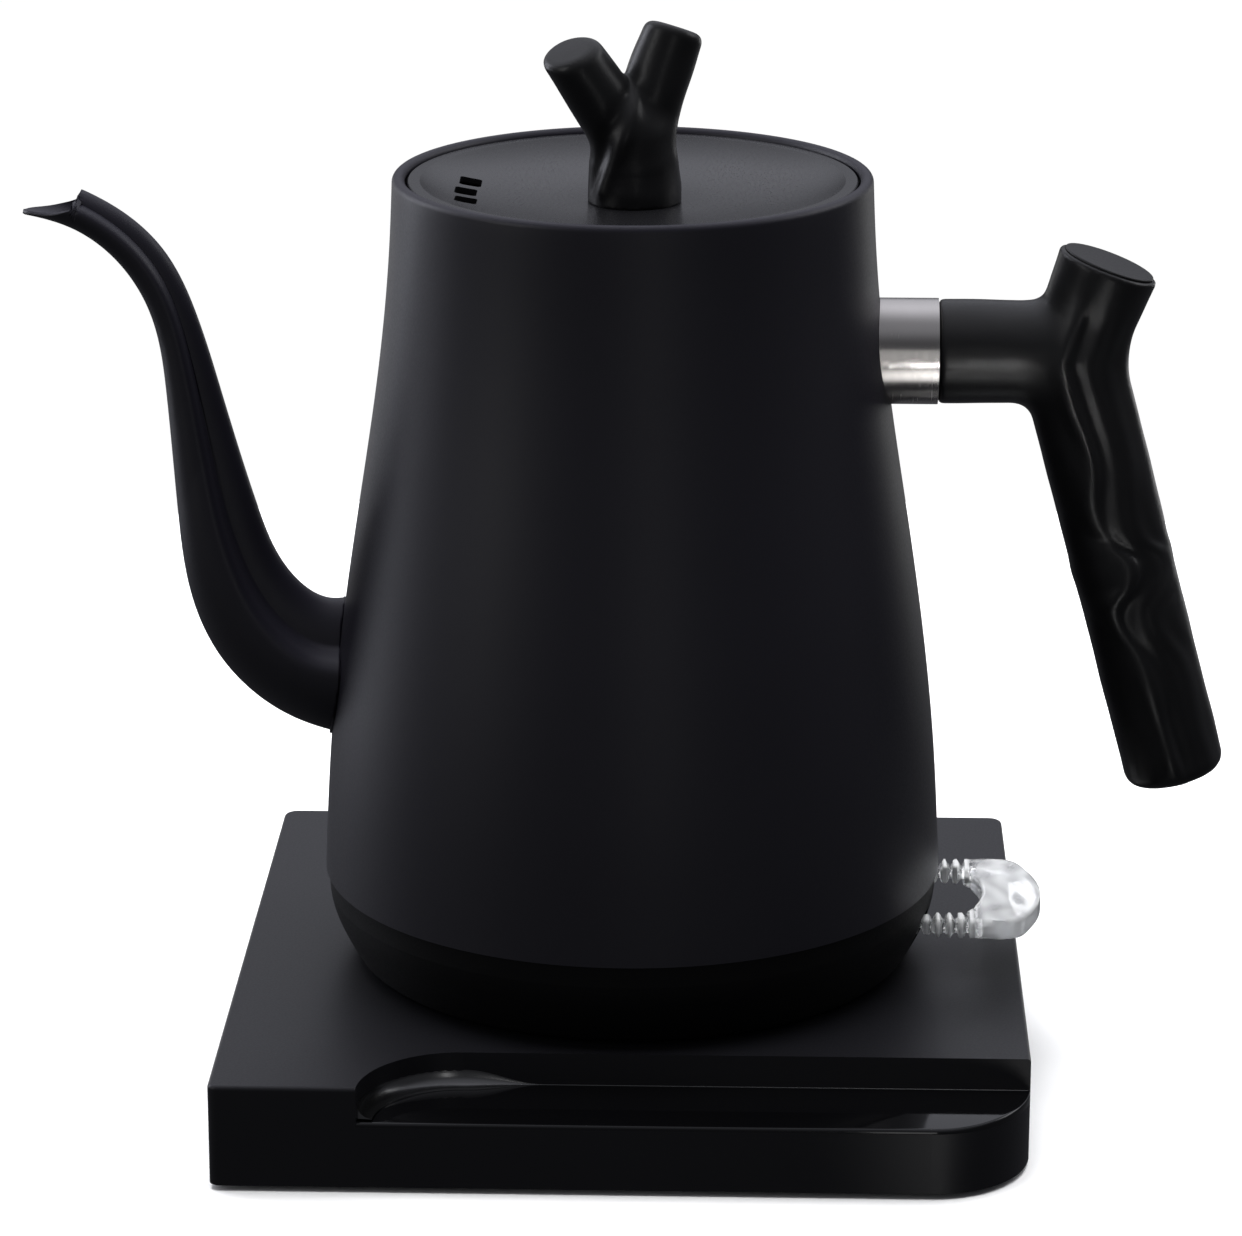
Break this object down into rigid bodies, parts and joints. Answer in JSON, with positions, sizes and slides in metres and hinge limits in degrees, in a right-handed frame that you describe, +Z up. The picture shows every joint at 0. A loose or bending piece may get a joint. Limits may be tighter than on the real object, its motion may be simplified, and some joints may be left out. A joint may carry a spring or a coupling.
{
  "type": "electric gooseneck kettle",
  "caption": "Electric pour-over kettle: steel vessel with gooseneck spout, branch-shaped handle and twig knob, on a square 360 degree power base.",
  "frame": {"origin": "on the kettle's vertical axis, on the surface that the base's feet stand on", "axes": "+X towards the handle, -X towards the spout, -Y towards the front ledge of the base, +Z up"},
  "size_m": [0.2434, 0.161, 0.2156],
  "materials": {
    "base_plastic": "fine matte moulded",
    "gloss_panel": "gloss",
    "foot_rubber": "matte",
    "screw_steel": "zinc plated",
    "coupler_plastic": "glass-filled, matte",
    "contact_brass": "plated",
    "body_coat": "fine matte powder coat",
    "lid_coat": "satin coat",
    "inner_steel": "drawn, satin",
    "spreader_aluminium": "cast",
    "skirt_plastic": "matte moulded",
    "lamp_plastic": "clear lens",
    "clear_plastic": "clear moulded",
    "collar_steel": "brushed round",
    "handle_plastic": "soft-touch, moulded bark",
    "seal_silicone": "silicone"
  },
  "bodies": {
    "power_base": {"base_cover": "base_plastic", "base_bottom": "base_plastic", "ledge_panel": "gloss_panel", "base_feet": "foot_rubber", "base_screws": "screw_steel", "cord_gland": "foot_rubber", "coupler_socket": "coupler_plastic", "socket_contacts": "contact_brass"},
    "coupler": {"coupler_rings": "contact_brass"},
    "kettle": {"coupler_plug": "coupler_plastic", "body_shell": "body_coat", "spout": "body_coat", "vessel_floor": "inner_steel", "spout_strainer": "inner_steel", "handle_bracket": "inner_steel", "steam_tube": "inner_steel", "heating_element": "inner_steel", "heat_spreader": "spreader_aluminium", "control_body": "coupler_plastic", "dry_boil_discs": "screw_steel", "steam_disc": "screw_steel", "trip_spring": "screw_steel", "bottom_skirt": "skirt_plastic", "skirt_screws": "screw_steel", "lever_pin": "screw_steel", "indicator_led": "lamp_plastic", "handle_collar": "collar_steel", "handle_grip": "handle_plastic", "handle_cap": "handle_plastic", "handle_screw": "screw_steel"},
    "lever": {"switch_lever": "clear_plastic"},
    "lid": {"lid_cover": "lid_coat", "lid_pan": "inner_steel", "lid_seal": "seal_silicone", "lid_knob": "handle_plastic", "knob_washer": "screw_steel", "knob_screw": "screw_steel"}
  },
  "joints": [
    {"name": "kettle_lift", "type": "slide", "parent": "power_base", "child": "coupler", "axis": [0, 0, 1], "range_m": [0, 0.06]},
    {"name": "kettle_swivel", "type": "hinge", "parent": "coupler", "child": "kettle", "pos_m": [0, 0, 0], "axis": [0, 0, 1], "continuous": true},
    {"name": "lid_lift", "type": "slide", "parent": "kettle", "child": "lid", "axis": [0, 0, 1], "range_m": [0, 0.05]},
    {"name": "lever_press", "type": "hinge", "parent": "kettle", "child": "lever", "pos_m": [0.044, 0, 0.03265], "axis": [0, 1, 0], "range_deg": [0, 8]}
  ]
}
